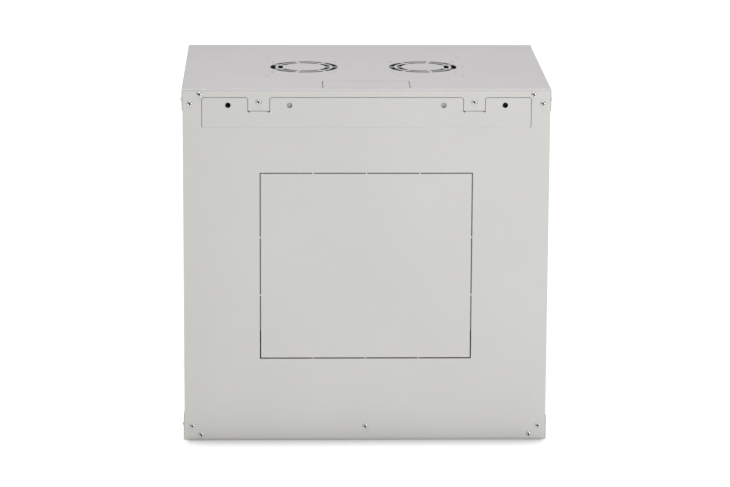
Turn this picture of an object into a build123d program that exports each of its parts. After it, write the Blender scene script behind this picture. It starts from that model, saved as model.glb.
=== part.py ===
"""Twelve-unit wall cabinet for 19-inch network equipment, with a glass door and a lift-in wall bracket.

Origin: centre of the footprint on the underside of the base. +Z is up, the door faces -Y and the
wall side faces +Y. Left and right are those of someone who faces the door, so left is -X.
Lengths are in millimetres.
"""

from build123d import *
import os

# ---------------------------------------------------------------- driving dimensions
cabinet_width = 600.0
cabinet_height = 590.0
cabinet_depth = 450.0  # door face to rear face
rack_units = 12
unit_pitch = 44.45

shell_sheet = 1.2  # roof, base, rear, side and door sheets
post_sheet = 1.5
bar_sheet = 2.0
rail_sheet = 2.0
bracket_sheet = 2.0
bend_radius = 2.2  # outside of a shell bend

# clearances
seam_gap = 0.3  # between fixed sheets that meet edge to edge
rear_seam_gap = 0.1  # between the rear panel and the lips above and below it
moving_gap = 0.4  # between bodies that move past each other
running_gap = 0.05  # radial, shaft in bore
hole_gap = 0.5  # radial, screw shank in a sheet hole

# roof and base trays
roof_flange = 36.0
base_flange = 40.0
rear_lip = 3.0

# corner posts, header and sill
front_leg = 35.0
rear_leg = 27.6
side_leg = 35.0
post_end_gap = 3.6
corner_ear = 14.0
header_height = 26.8

# door
door_depth = 15.5
door_side_gap = 2.4
door_swing_gap = 4.5  # door back to the front of the posts and trays
door_end_gap = 0.6  # door's ends to the roof and base sheets
door_lip = 14.0
window_border = 72.0
glass_thickness = 4.0
glass_lap = 8.0
tape_thickness = 0.8
tape_width = 6.0

# hinges
hinge_plate = 2.5
hinge_plate_gap = 1.0  # plate to the step in the door's corner
hinge_plate_reach = 11.0  # pin to the plate's inner edge
hinge_step_gap = 3.0  # plate's inner edge to the step's wall
hinge_pin_radius = 3.0
hinge_inset = 8.0  # pin to the door's edge
pin_release = 8.0
pin_collar = (2.0, 2.0)  # how far the collar stands out from the pin, and its height
spring_length = 27.6
guide_rise = 40.0  # lower guide plate above the step's floor

# locks
lock_radius = 9.0
lock_rim_radius = 12.0
plug_radius = 6.0
cam_width = 12.0
cam_thickness = 2.0
door_lock_inset = 50.0  # from the cabinet's side
side_lock_drop = 31.0  # below the roof flange
side_cam_reach = 38.0

# rails and their depth bars
rack_opening = 451.2
rack_hole_spacing = 465.1
rack_hole = 9.5
rail_face_width = 26.4
rail_side_width = 30.0
front_rail_setback = 40.0  # from the posts' front
rear_rail_setback = 60.0  # from the rear face
bar_lap = 1.0  # the bar's flange stops this far short of the rail's outer edge
rail_tab_lap = 13.0  # the rail's tab past its bolt
bar_web = 18.0
bar_drop = 24.0  # a bar's seat for the rails, below the roof
bar_bolt_inset = 25.5  # slot to the bar's web

# wall bracket in the rear panel
bracket_side_inset = 33.0  # from the cabinet's side
bracket_height = 48.6
bracket_drop = 14.55  # its top edge below the roof
bracket_corner = 4.0
bracket_gap = 0.8
bracket_foot_gap = 0.05
bracket_hole_radius = 4.5
bracket_hole_drop = 27.0
bracket_outer_spacing = 450.0
bracket_inner_spacing = 250.0
bracket_lip = 2.0
tab_spacing = 350.0
tab_width = 34.8
tab_foot_drop = 36.1
tab_screw_drop = 21.7
tab_slot = (10.8, 5.4)
relief_radius = 1.8
recess_wall = 1.0
wall_screw_access_radius = 8.0

# knock-outs
rear_knockout = (348.0, 312.6)
rear_knockout_foot = 139.0
cable_knockout = (143.0, 70.0)
cable_knockout_setback = 7.0
knockout_slit = 2.0
cable_slit = 1.1
knockout_bridge = 2.2

# fan grilles in the roof
middle_setback = 217.0  # fans, side locks and base vents from the rear face
fan_spacing = 200.0
fan_bolt_spacing = 105.0
fan_bolt_radius = 2.25
fan_rings = ((57.0, 48.3), (44.3, 36.1))  # outer and inner radius of each ring of slots
fan_spokes = 7
fan_spoke_width = 5.0

# pan-head screws
screw_radius = 2.0
screw_head_radius = 4.1
screw_head_height = 2.4
tab_screw_radius = 2.45
tab_screw_head_radius = 3.8
rear_screws = ((28.6, 9.5), (13.5, 24.5))  # from the nearer side and from the nearer end
rear_foot_screw = 23.6
side_screw_rise = 21.7
side_screw_insets = (15.0, 20.0)  # from the posts' front, and from the rear face
bar_screw_insets = (24.0, 28.0)

# earthing studs in the base
stud_radius = 3.0
stud_spacing = 480.0
stud_setback = 45.0  # from the rear face

# ---------------------------------------------------------------- places worked out from them
half_width = cabinet_width / 2
rear_y = cabinet_depth / 2
front_y = -rear_y
inner_rear_y = rear_y - shell_sheet
door_back_y = front_y + door_depth
post_front_y = door_back_y + door_swing_gap
tray_front_y = post_front_y
middle_y = rear_y - middle_setback
header_y = post_front_y + post_sheet
roof_z = cabinet_height - shell_sheet  # underside of the roof sheet
flange_x = half_width - shell_sheet  # inner face of the tray flanges
side_x = flange_x - 0.2  # outer face of the side panels and edge of the rear panel
post_x = side_x - shell_sheet - moving_gap  # outer face of the posts
post_inner_x = post_x - post_sheet
post_z = (shell_sheet + post_end_gap, roof_z - post_end_gap)
front_leg_x = post_x - front_leg

rack_height = rack_units * unit_pitch
rack_z = ((cabinet_height - rack_height) / 2, (cabinet_height + rack_height) / 2)
bar_z = cabinet_height - bar_drop
rail_tab_top = bar_z - seam_gap
bar_y = (header_y + 1.5, inner_rear_y - 4.8)
bar_slot_x = post_inner_x - bar_bolt_inset
front_rail_y = post_front_y + front_rail_setback
rear_rail_y = rear_y - rear_rail_setback

door_x = half_width - door_side_gap
door_z = (shell_sheet + door_end_gap, roof_z - door_end_gap)
door_skin_y = front_y + shell_sheet  # inner face of the door's skin
window_x = door_x - window_border
window_z = (door_z[0] + window_border, door_z[1] - window_border)
glass_y = door_skin_y + tape_thickness
glass_back_y = glass_y + glass_thickness
hinge_x = -(door_x - hinge_inset)
hinge_y = front_y + door_depth / 2
step_x = hinge_x + hinge_plate_reach + hinge_step_gap
step_z = (
    shell_sheet + hinge_plate + hinge_plate_gap,
    roof_z - hinge_plate - hinge_plate_gap,
)
spring_top = step_z[1] - shell_sheet - pin_release - 1.5 - pin_collar[1]
spring_foot = spring_top - spring_length
middle_z = cabinet_height / 2
door_lock_x = half_width - door_lock_inset

bracket_width = cabinet_width - 2 * bracket_side_inset
bracket_top = cabinet_height - bracket_drop
bracket_bottom = bracket_top - bracket_height
bracket_hole_z = cabinet_height - bracket_hole_drop
tab_foot = cabinet_height - tab_foot_drop
tab_screw_z = cabinet_height - tab_screw_drop
recess_floor_y = rear_y - bracket_sheet - bracket_lip
side_lock_z = cabinet_height - roof_flange - side_lock_drop
side_panel_z = (base_flange + 0.6, cabinet_height - roof_flange - 0.6)


# ---------------------------------------------------------------- small shapes
def slab(x, y, z):
    """Box between two limits on each axis."""
    place = Pos((x[0] + x[1]) / 2, (y[0] + y[1]) / 2, (z[0] + z[1]) / 2)
    return place * Box(x[1] - x[0], y[1] - y[0], z[1] - z[0])


def rod_x(x, y, z, radius):
    return Pos((x[0] + x[1]) / 2, y, z) * Rot(Y=90) * Cylinder(radius, x[1] - x[0])


def rod_y(x, y, z, radius):
    return Pos(x, (y[0] + y[1]) / 2, z) * Rot(X=90) * Cylinder(radius, y[1] - y[0])


def rod_z(x, y, z, radius):
    return Pos(x, y, (z[0] + z[1]) / 2) * Cylinder(radius, z[1] - z[0])


def left_of(shape):
    """The same piece on the other side of the cabinet."""
    return mirror(shape, about=Plane.YZ)


def at_bottom(shape):
    """The same piece at the other end of the cabinet's height."""
    return mirror(shape, about=Plane.XY.offset(middle_z))


def all_corners(shape):
    pair = [shape, left_of(shape)]
    return pair + [at_bottom(one) for one in pair]


def pan_screw(length, radius=screw_radius, head_radius=screw_head_radius):
    """Cross-recess pan-head screw, head above z = 0 and shank below it."""
    head = Pos(0, 0, screw_head_height / 2) * Cylinder(head_radius, screw_head_height)
    head = fillet(head.edges().sort_by(Axis.Z)[-1], screw_head_height * 0.7)
    recess = Box(head_radius * 1.1, 0.9, 2.6) + Box(0.9, head_radius * 1.1, 2.6)
    shank = Pos(0, 0, -length / 2) * Cylinder(radius, length)
    return head + shank - Pos(0, 0, screw_head_height) * recess


def save(name, *shapes):
    solids = [solid for shape in shapes for solid in shape.solids()]
    whole = solids[0] if len(solids) == 1 else Compound(children=solids)
    export_step(whole, f"parts/{name}.step")


# ---------------------------------------------------------------- roof and base
def tray(flange):
    """Floor on z = 0 with side flanges and a short rear lip upwards; in front of the flanges the
    floor alone runs on over the door's edge.
    """
    y = (tray_front_y, rear_y)
    outer = slab((-half_width, half_width), y, (0, flange))
    outer_bends = outer.faces().sort_by(Axis.Z)[0].edges().sort_by(Axis.Y)[1:]
    outer = fillet(outer_bends, bend_radius)
    inner_y = (tray_front_y - 1, inner_rear_y)
    inner = slab((-flange_x, flange_x), inner_y, (shell_sheet, flange + 1))
    inner_bends = inner.faces().sort_by(Axis.Z)[0].edges().sort_by(Axis.Y)[1:]
    inner = fillet(inner_bends, bend_radius - shell_sheet)
    rear_opening = slab((-flange_x, flange_x), (inner_rear_y - 1, rear_y + 1), (rear_lip, flange + 1))
    ledge_x = half_width - seam_gap
    ledge = slab((-ledge_x, ledge_x), (front_y, tray_front_y), (0, shell_sheet))
    return outer - inner - rear_opening + ledge


def slit_outline(size, slit, bridges_x, bridges_y):
    """Outline of a knock-out: a slit broken by the bridges that hold the plate in."""
    outline = Rectangle(*size) - Rectangle(size[0] - 2 * slit, size[1] - 2 * slit)
    for x in bridges_x:
        outline -= Pos(x, 0) * Rectangle(knockout_bridge, size[1] + 1)
    for y in bridges_y:
        outline -= Pos(0, y) * Rectangle(size[0] + 1, knockout_bridge)
    return outline


def cable_slit_outline():
    y = rear_y - cable_knockout_setback - cable_knockout[1] / 2
    return Pos(0, y) * slit_outline(cable_knockout, cable_slit, (-36, 36), (0,))


def fan_grille():
    """Two rings of slots with spokes, one spoke towards +X, and the fan's four bolt holes."""
    slots = Sketch()
    for outer_radius, inner_radius in fan_rings:
        slots += Circle(outer_radius) - Circle(inner_radius)
    middle = (fan_rings[0][0] + fan_rings[-1][1]) / 2
    for k in range(fan_spokes):
        spoke = Pos(middle, 0) * Rectangle(30, fan_spoke_width)
        slots -= Rot(Z=360 / fan_spokes * k) * spoke
    bolts = GridLocations(fan_bolt_spacing, fan_bolt_spacing, 2, 2) * Circle(fan_bolt_radius)
    return slots + bolts


def fan_tray_holes():
    """Small holes outboard of a fan, for a fan tray."""
    ends = [Pos(62.3, y) * Circle(2.0) for y in (-92, 92)]
    return Sketch() + ends + Pos(67.5, 0) * Circle(2.0)


def side_screw_places():
    """Screws through the tray flanges into the posts: y and the height from the nearer end."""
    front, rear = side_screw_insets
    return [(post_front_y + front, side_screw_rise), (rear_y - rear, side_screw_rise)]


def flange_holes():
    cuts = []
    for y, rise in side_screw_places():
        cuts.append(rod_x((-half_width - 1, half_width + 1), y, rise, screw_radius + hole_gap))
    return cuts


def roof_panel():
    body = Pos(0, 0, cabinet_height) * mirror(tray(roof_flange), about=Plane.XY)
    right_fan = Pos(fan_spacing / 2, middle_y) * (Rot(Z=180) * fan_grille() + fan_tray_holes())
    cuts = right_fan + mirror(right_fan, about=Plane.YZ) + cable_slit_outline()
    body -= extrude(Plane.XY.offset(roof_z - 1) * cuts, shell_sheet + 2)
    for hole in flange_holes():
        body -= at_bottom(hole)
    return body


def base_panel():
    vents = Sketch() + GridLocations(16, 60, 20, 2) * SlotOverall(44, 5, rotation=90)
    cuts = Pos(0, middle_y - 120) * vents + cable_slit_outline()
    body = tray(base_flange) - extrude(Plane.XY.offset(-1) * cuts, shell_sheet + 2)
    for hole in flange_holes():
        body -= hole
    for x in earth_stud_places():
        body -= rod_z(x, earth_y, (-1, shell_sheet + 1), stud_radius + running_gap)
    return body


# ---------------------------------------------------------------- rear panel and wall bracket
def bracket_outline():
    """Face of the wall bracket, with the two notches that the rear panel's tabs fill."""
    centre_z = (bracket_bottom + bracket_top) / 2
    outline = Pos(0, centre_z) * Rectangle(bracket_width, bracket_height)
    notch_foot = tab_foot - bracket_gap
    for x in (-tab_spacing / 2, tab_spacing / 2):
        notch = Rectangle(tab_width + 2 * bracket_gap, 2 * (bracket_top - notch_foot))
        outline -= Pos(x, bracket_top) * notch
    top = [v for v in outline.vertices() if v.Y > bracket_top - 0.1]
    outline = fillet(top, bracket_corner)
    foot = [v for v in outline.vertices() if v.Y < bracket_bottom + 0.1]
    return fillet(foot, bracket_corner - 1)


def upright(outline, outer_y, thickness):
    """Sheet from an outline drawn in X and Z, its outer face at outer_y."""
    return extrude(Plane.XZ.offset(-outer_y) * outline, thickness)


def wall_bracket():
    holes = Sketch()
    for spacing in (bracket_outer_spacing, bracket_inner_spacing):
        for x in (-spacing / 2, spacing / 2):
            holes += Pos(x, bracket_hole_z) * Circle(bracket_hole_radius)
    for x in (-tab_spacing / 2, tab_spacing / 2):
        for side in (-1, 1):
            holes += Pos(x + side * (tab_width / 2 - 1), tab_foot - bracket_gap) * Circle(relief_radius)
    body = upright(bracket_outline() - holes, rear_y, bracket_sheet)
    lip_y = (recess_floor_y, rear_y - bracket_sheet)
    foot = (bracket_bottom, bracket_bottom + bracket_sheet)
    top = (bracket_top - bracket_sheet, bracket_top)
    notch = tab_width / 2 + bracket_gap + 6
    body += slab((-bracket_width / 2 + 12, bracket_width / 2 - 12), lip_y, foot)
    body += slab((-tab_spacing / 2 + notch, tab_spacing / 2 - notch), lip_y, top)
    right_lip = slab((tab_spacing / 2 + notch, bracket_width / 2 - 12), lip_y, top)
    return body + right_lip + left_of(right_lip)


def bracket_recess():
    """Pan welded behind the rear panel; the bracket lies in it, flush with the rear face."""
    x = bracket_width / 2 + bracket_gap + recess_wall + 0.1
    z = (bracket_bottom - bracket_foot_gap - recess_wall - 0.5, bracket_top + bracket_gap + recess_wall)
    pan = slab((-x, x), (recess_floor_y - shell_sheet, inner_rear_y), z)
    hollow_x = (-x + recess_wall, x - recess_wall)
    hollow_z = (z[0] + recess_wall, z[1] - recess_wall)
    pan -= slab(hollow_x, (recess_floor_y, inner_rear_y + 1), hollow_z)
    for side in (-1, 1):
        hole_x = side * bracket_outer_spacing / 2
        through = (recess_floor_y - 2, recess_floor_y + 1)
        pan -= rod_y(hole_x, through, bracket_hole_z, wall_screw_access_radius)
        bore = tab_screw_radius + running_gap
        pan -= rod_y(side * tab_spacing / 2, through, tab_screw_z, bore)
    return pan


def rear_panel():
    z = (rear_lip + rear_seam_gap, cabinet_height - rear_lip - rear_seam_gap)
    sheet = Pos(0, (z[0] + z[1]) / 2) * Rectangle(2 * side_x, z[1] - z[0])
    window = offset(bracket_outline(), bracket_gap)
    foot = bracket_bottom - bracket_foot_gap
    below = Pos(0, foot - 10) * Rectangle(cabinet_width, 20)
    sheet -= window - below
    knockout_z = rear_knockout_foot + rear_knockout[1] / 2
    slits = slit_outline(rear_knockout, knockout_slit, (-87, 0, 87), (-48.5, 48.5))
    sheet -= Pos(0, knockout_z) * slits
    for x in (-tab_spacing / 2, tab_spacing / 2):
        sheet -= Pos(x, tab_screw_z) * SlotOverall(*tab_slot)
    hole = Circle(screw_radius + hole_gap)
    for inset, rise in rear_screws:
        for x in (inset - half_width, half_width - inset):
            sheet -= Pos(x, rise) * hole
            sheet -= Pos(x, cabinet_height - rise) * hole
    sheet -= Pos(0, rear_foot_screw) * hole
    return upright(sheet, rear_y, shell_sheet)


def rear_panel_screws():
    screw = Rot(X=-90) * pan_screw(shell_sheet + post_sheet)
    copies = [Pos(0, rear_y, rear_foot_screw) * screw]
    for inset, rise in rear_screws:
        copies += all_corners(Pos(half_width - inset, rear_y, cabinet_height - rise) * screw)
    return copies


def bracket_screws():
    length = rear_y - recess_floor_y + shell_sheet
    screw = Rot(X=-90) * pan_screw(length, tab_screw_radius, tab_screw_head_radius)
    right = Pos(tab_spacing / 2, rear_y, tab_screw_z) * screw
    return [right, left_of(right)]


def bracket_nuts():
    """Round press nuts between the recess floor and the rear panel's tabs."""
    y = (recess_floor_y, inner_rear_y)
    nut = rod_y(tab_spacing / 2, y, tab_screw_z, 5.0)
    nut -= rod_y(tab_spacing / 2, (y[0] - 1, y[1] + 1), tab_screw_z, tab_screw_radius + running_gap)
    return [nut, left_of(nut)]


# ---------------------------------------------------------------- posts, header, sill, pads
def thread_hole_x(y, z):
    return rod_x((post_inner_x - 1, post_x + 1), y, z, screw_radius + running_gap)


def bar_screw_places():
    """Screws that hold a depth bar to the posts: y and the height from the nearer end."""
    rise = cabinet_height - bar_z - bar_web / 2 - 2
    front, rear = bar_screw_insets
    return [(post_front_y + front, rise), (rear_y - rear, rise)]


def post_side_leg(y):
    leg = slab((post_inner_x, post_x), y, post_z)
    for hole_y, rise in side_screw_places() + bar_screw_places():
        if y[0] < hole_y < y[1]:
            leg -= thread_hole_x(hole_y, rise)
            leg -= thread_hole_x(hole_y, cabinet_height - rise)
    return leg


def front_post():
    """Right front post: an angle whose front leg frames the door opening."""
    y = (post_front_y, header_y)
    return slab((front_leg_x, post_x), y, post_z) + post_side_leg((post_front_y, post_front_y + side_leg))


def rear_post():
    """Right rear post: an angle with an ear at each end that takes the inner corner screw."""
    y = (inner_rear_y - post_sheet, inner_rear_y)
    leg_x = post_x - rear_leg
    post = slab((leg_x, post_x), y, post_z) + post_side_leg((inner_rear_y - side_leg, inner_rear_y))
    ear_top = slab((leg_x - corner_ear, leg_x), y, (bracket_top + bracket_gap + 1.2, post_z[1]))
    ear_foot = slab((leg_x - corner_ear, leg_x), y, (post_z[0], rear_screws[0][1] + 8))
    post += ear_top + ear_foot
    for inset, rise in rear_screws:
        for z in (rise, cabinet_height - rise):
            post -= rod_y(half_width - inset, (y[0] - 1, y[1] + 1), z, screw_radius + running_gap)
    return post


def corner_pad(y):
    """Spacer between a post and the roof's side flange."""
    z = (cabinet_height - roof_flange + 2, cabinet_height - 6)
    pad = slab((post_x, flange_x), y, z)
    for hole_y, rise in side_screw_places():
        if y[0] < hole_y < y[1]:
            hole = rod_x((post_x - 1, flange_x + 1), hole_y, cabinet_height - rise, screw_radius + hole_gap)
            pad -= hole
    return pad


def corner_pads():
    front = corner_pad((post_front_y + 2, post_front_y + 30))
    rear = corner_pad((rear_y - 33, rear_y - 5))
    return all_corners(front) + all_corners(rear)


def side_flange_screws():
    screw = Rot(Y=90) * pan_screw(half_width - post_inner_x)
    copies = []
    for y, rise in side_screw_places():
        copies += all_corners(Pos(half_width, y, cabinet_height - rise) * screw)
    return copies


def header():
    """Cross member behind the front legs, hung under the roof between the hinge plates."""
    x = -(hinge_x + hinge_plate_reach + 1)
    return slab((-x, x), (header_y, header_y + shell_sheet), (roof_z - header_height, roof_z))


def foot_rail():
    """Cross member inside the rear panel's foot, which takes the middle screw."""
    x = post_x - rear_leg - corner_ear - 1
    y = (inner_rear_y - post_sheet, inner_rear_y)
    body = slab((-x, x), y, (shell_sheet, rear_foot_screw + 12))
    body += slab((-x, x), (y[0] - 16, y[1]), (shell_sheet, shell_sheet + post_sheet))
    bend = body.edges().filter_by(Axis.X).group_by(Axis.Z)[0].sort_by(Axis.Y)[-1]
    body = fillet(bend, bend_radius - shell_sheet + seam_gap)
    return body - rod_y(0, (y[0] - 1, y[1] + 1), rear_foot_screw, screw_radius + running_gap)


def door_bumpers():
    """Rubber stops: two on the lock-side post, and one each on the header and the sill."""
    lip_x = door_x - door_lip / 2
    end_y = door_back_y + moving_gap
    stops = [rod_y(lip_x, (end_y, post_front_y), middle_z + rise, 5.0) for rise in (-145, 145)]
    lip_z = door_z[1] - door_lip / 2
    stops.append(rod_y(0, (end_y, header_y), lip_z, 5.0))
    stops.append(rod_y(0, (end_y, header_y), cabinet_height - lip_z, 5.0))
    return stops


# ---------------------------------------------------------------- depth bars and 19-inch rails
def depth_bar():
    """Right upper bar: an angle from front to rear with the slot that the rails slide along."""
    flange_x_in = rack_opening / 2 + rail_face_width + bar_lap
    flange = slab((flange_x_in, post_inner_x), bar_y, (bar_z, bar_z + bar_sheet))
    web = slab((post_inner_x - bar_sheet, post_inner_x), bar_y, (bar_z, bar_z + bar_web))
    slot_length = bar_y[1] - bar_y[0] - 40
    slot = SlotOverall(slot_length, 6.6, rotation=90)
    slot_centre = (bar_y[0] + bar_y[1]) / 2
    bar = flange + web
    bar -= extrude(Plane.XY.offset(bar_z - 1) * Pos(bar_slot_x, slot_centre) * slot, bar_sheet + 2)
    for y, rise in bar_screw_places():
        x = (post_inner_x - bar_sheet - 1, post_inner_x + 1)
        bar -= rod_x(x, y, cabinet_height - rise, screw_radius + hole_gap)
    return bar


def bar_screws():
    screw = Rot(Y=-90) * pan_screw(bar_sheet + post_sheet)
    copies = []
    for y, rise in bar_screw_places():
        copies += all_corners(Pos(post_inner_x - bar_sheet, y, cabinet_height - rise) * screw)
    return copies


def rail(face_y, inward):
    """Right rail: punched face, side flange towards the cabinet's middle, and a tab at each end.

    inward is 1 where the side flange runs towards +Y, and -1 where it runs towards -Y.
    """
    x_in = rack_opening / 2
    x_out = x_in + rail_face_width
    face_back = face_y + inward * rail_sheet
    side_end = face_y + inward * rail_side_width
    face = slab((x_in, x_out), sorted((face_y, face_back)), rack_z)
    side_z = (cabinet_height - rail_tab_top, rail_tab_top)
    side = slab((x_out - rail_sheet, x_out), sorted((face_y, side_end)), side_z)
    tab_x = (x_out - rail_sheet, bar_slot_x + rail_tab_lap)
    tab = slab(tab_x, sorted((face_y, side_end)), (rail_tab_top - rail_sheet, rail_tab_top))
    bolt_y = (face_y + side_end) / 2
    tab -= rod_z(bar_slot_x, bolt_y, (rail_tab_top - 4, rail_tab_top + 2), 3.0)
    holes = Sketch()
    for unit in range(rack_units):
        for rise in (6.35, 22.225, 38.1):
            z = rack_z[0] + unit * unit_pitch + rise
            holes += Pos(rack_hole_spacing / 2, z) * Rectangle(rack_hole, rack_hole)
    punch = upright(holes, max(face_y, face_back) + 1, rail_sheet + 2)
    return face - punch + side + tab + at_bottom(tab)


def rail_bolts(face_y, inward):
    """Bolt through the bar's slot and nut under the rail's tab, at both ends of a rail."""
    bolt_y = face_y + inward * rail_side_width / 2
    seat = bar_z + bar_sheet + seam_gap
    nut_z = (rail_tab_top - rail_sheet - 4.5, rail_tab_top - rail_sheet)
    head = extrude(Plane.XY.offset(seat) * Pos(bar_slot_x, bolt_y) * RegularPolygon(5.77, 6), 3.5)
    bolt = head + rod_z(bar_slot_x, bolt_y, (nut_z[0] - 1, seat), 2.9)
    nut = extrude(Plane.XY.offset(nut_z[0]) * Pos(bar_slot_x, bolt_y) * RegularPolygon(5.77, 6), 4.5)
    nut -= rod_z(bar_slot_x, bolt_y, (nut_z[0] - 1, nut_z[1] + 1), 2.9 + running_gap)
    return [bolt, nut, at_bottom(bolt), at_bottom(nut)]


# ---------------------------------------------------------------- side panels
side_panel_y = (post_front_y + 0.5, inner_rear_y - moving_gap)
side_return_y = (post_front_y + side_leg + 2, inner_rear_y - side_leg - 2)
side_return_x = (side_x - 12.6, side_x)
side_lock_y = middle_y


def side_panel():
    """Right side panel: flat sheet with a return at the top and at the foot."""
    sheet = slab((side_x - shell_sheet, side_x), side_panel_y, side_panel_z)
    foot = slab(side_return_x, side_return_y, (side_panel_z[0], side_panel_z[0] + shell_sheet))
    top_z = (side_panel_z[1] - shell_sheet, side_panel_z[1])
    top = slab(side_return_x, side_return_y, top_z)
    notch = side_cam_reach + 6
    top -= slab(
        (side_return_x[0] - 1, side_x - shell_sheet),
        (side_lock_y - notch, side_lock_y + notch),
        (top_z[0] - 1, top_z[1] + 1),
    )
    body = sheet + foot + top
    return body - rod_x((side_x - 20, side_x + 1), side_lock_y, side_lock_z, lock_radius)


def side_panel_hooks():
    """Tongues under the foot return; they drop behind the base's side flange."""
    z = (side_panel_z[0] - 9.6, side_panel_z[0])
    x = (side_x - shell_sheet - moving_gap, side_x - moving_gap)
    return [slab(x, (y - 15, y + 15), z) for y in (side_lock_y - 110, side_lock_y + 110)]


# ---------------------------------------------------------------- locks
def lock_body(length):
    """Lock housing on +Z: rim above z = 0, barrel below, bored for the plug."""
    rim = Pos(0, 0, screw_head_height / 2) * Cylinder(lock_rim_radius, screw_head_height)
    rim = chamfer(rim.edges().sort_by(Axis.Z)[-1], 0.8)
    barrel = Pos(0, 0, -length / 2) * Cylinder(lock_radius - running_gap, length)
    bore = Cylinder(plug_radius + running_gap, 2 * length + 10)
    return rim + barrel - bore


def lock_plug(length):
    """Plug that the key turns, with a key slot in its face, just under the rim's face."""
    z = (-length, screw_head_height - 0.3)
    plug = rod_z(0, 0, z, plug_radius)
    key_slot = Pos(0, 0, screw_head_height) * Box(7.0, 1.5, 5.0)
    return plug - key_slot


def lock_nut(sheet):
    """Round nut that clamps the housing against the inside of the sheet."""
    nut = extrude(Plane.XY * RegularPolygon(13.0, 6), -4.0)
    nut = Pos(0, 0, -sheet) * nut
    return nut - Cylinder(lock_radius, 40)


def straight_cam(reach):
    """Flat cam from the lock's axis along -Y, its near face on z = 0."""
    arm = Pos(0, -reach / 2) * Rectangle(cam_width, reach) + Circle(cam_width / 2)
    return extrude(arm, -cam_thickness)


def cranked_cam(reach, rise):
    """Cam along +Y whose tip is cranked towards the sheet, so that it lies close behind the flange."""
    bend = reach - 14
    x = (-cam_width / 2, cam_width / 2)
    arm = extrude(Circle(cam_width / 2), -cam_thickness)
    arm += slab(x, (0, bend), (-cam_thickness, 0))
    arm += slab(x, (bend - cam_thickness, bend), (-cam_thickness, rise))
    return arm + slab(x, (bend - cam_thickness, reach), (rise - cam_thickness, rise))


door_lock_length = header_y + moving_gap - front_y
side_lock_length = 10.2


def on_door(shape):
    """Places a lock piece on the door: its +Z becomes -Y, and its +Y stays up."""
    return Pos(door_lock_x, front_y, middle_z) * Rot(X=90) * shape


def on_side(shape):
    """Places a lock piece on the right side: its +Z becomes +X, and its +Y stays +Y."""
    return Pos(side_x, side_lock_y, side_lock_z) * Rot(Y=90) * shape


# ---------------------------------------------------------------- door
def door_steps(wall):
    """The two steps that clear the hinge plates in the door's hinge corners, grown by a wall."""
    x = (-door_x - 1, step_x + wall)
    upper = slab(x, (front_y - 1, door_back_y + 1), (step_z[1] - wall, cabinet_height))
    return [upper, at_bottom(upper)]


def door_frame():
    """Folded door pan: skin with the window, edge flanges and a stiffening lip at the back."""
    outer = slab((-door_x, door_x), (front_y, door_back_y), door_z)
    edges = outer.faces().sort_by(Axis.Y)[0].edges()
    outer = fillet(edges, bend_radius)
    inner_z = (door_z[0] + shell_sheet, door_z[1] - shell_sheet)
    inner_x = door_x - shell_sheet
    hollow = slab((-inner_x, inner_x), (door_skin_y, door_back_y - shell_sheet), inner_z)
    body = outer - door_steps(0) - (hollow - door_steps(shell_sheet))
    lip_x = door_x - door_lip
    lip_z = (door_z[0] + door_lip, door_z[1] - door_lip)
    body -= slab((-lip_x, lip_x), (door_skin_y + 1, door_back_y + 1), lip_z)
    window = slab((-window_x, window_x), (front_y - 1, door_skin_y + 1), window_z)
    body -= fillet(window.edges().filter_by(Axis.Y), 6.0)
    body -= rod_y(door_lock_x, (front_y - 1, door_skin_y + 1), middle_z, lock_radius)
    for z in step_z:
        body -= rod_z(hinge_x, hinge_y, (z - 3, z + 3), hinge_pin_radius + 2 * running_gap)
    return body


def door_glass():
    pane = slab(
        (-window_x - glass_lap, window_x + glass_lap),
        (glass_y, glass_back_y),
        (window_z[0] - glass_lap, window_z[1] + glass_lap),
    )
    return fillet(pane.edges().filter_by(Axis.Y), 4.0)


def glass_tape():
    """Mounting tape between the door's skin and the pane."""
    x = window_x + glass_lap
    z = (window_z[0] - glass_lap, window_z[1] + glass_lap)
    outer = slab((-x, x), (door_skin_y, glass_y), z)
    hole_z = (z[0] + tape_width, z[1] - tape_width)
    return outer - slab((-x + tape_width, x - tape_width), (door_skin_y - 1, glass_y + 1), hole_z)


def glass_clip():
    """Clip with its foot on the skin beyond the pane, on +X of the origin, and its finger over the pane."""
    foot = slab((2, 16), (door_skin_y, glass_back_y), (-7, 7))
    finger = slab((-6, 16), (glass_back_y, glass_back_y + shell_sheet), (-7, 7))
    bore = rod_y(9, (door_skin_y - 1, glass_back_y + 3), 0, screw_radius + running_gap)
    return foot + finger - bore


def glass_clip_places():
    """Each clip's place on the pane's edge, and its turn about Y."""
    x = window_x + glass_lap
    z = (window_z[0] - glass_lap, window_z[1] + glass_lap)
    turns = [(x, middle_z + rise, 0) for rise in (-150, 150)]
    turns += [(-x, middle_z + rise, 180) for rise in (-150, 150)]
    turns += [(side, z[1], -90) for side in (-140, 0, 140)]
    return turns + [(side, z[0], 90) for side in (-140, 0, 140)]


def glass_clips():
    return [Pos(x, 0, z) * Rot(Y=turn) * glass_clip() for x, z, turn in glass_clip_places()]


def glass_clip_screws():
    seat = glass_back_y + shell_sheet
    screw = Pos(9, seat, 0) * Rot(X=-90) * pan_screw(seat - door_skin_y)
    return [Pos(x, 0, z) * Rot(Y=turn) * screw for x, z, turn in glass_clip_places()]


# ---------------------------------------------------------------- hinges
def hinge_bracket():
    """Upper hinge plate, welded under the roof, with the pin's bore in front of it."""
    x = (hinge_x - hinge_inset, hinge_x + hinge_plate_reach)
    plate = slab(x, (front_y + 0.75, header_y + 14), (roof_z - hinge_plate, roof_z))
    plate = fillet(plate.edges().filter_by(Axis.Z).sort_by(Axis.Y)[:2], 4.0)
    bore = hinge_pin_radius + running_gap
    return plate - rod_z(hinge_x, hinge_y, (roof_z - hinge_plate - 1, roof_z + 1), bore)


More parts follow.
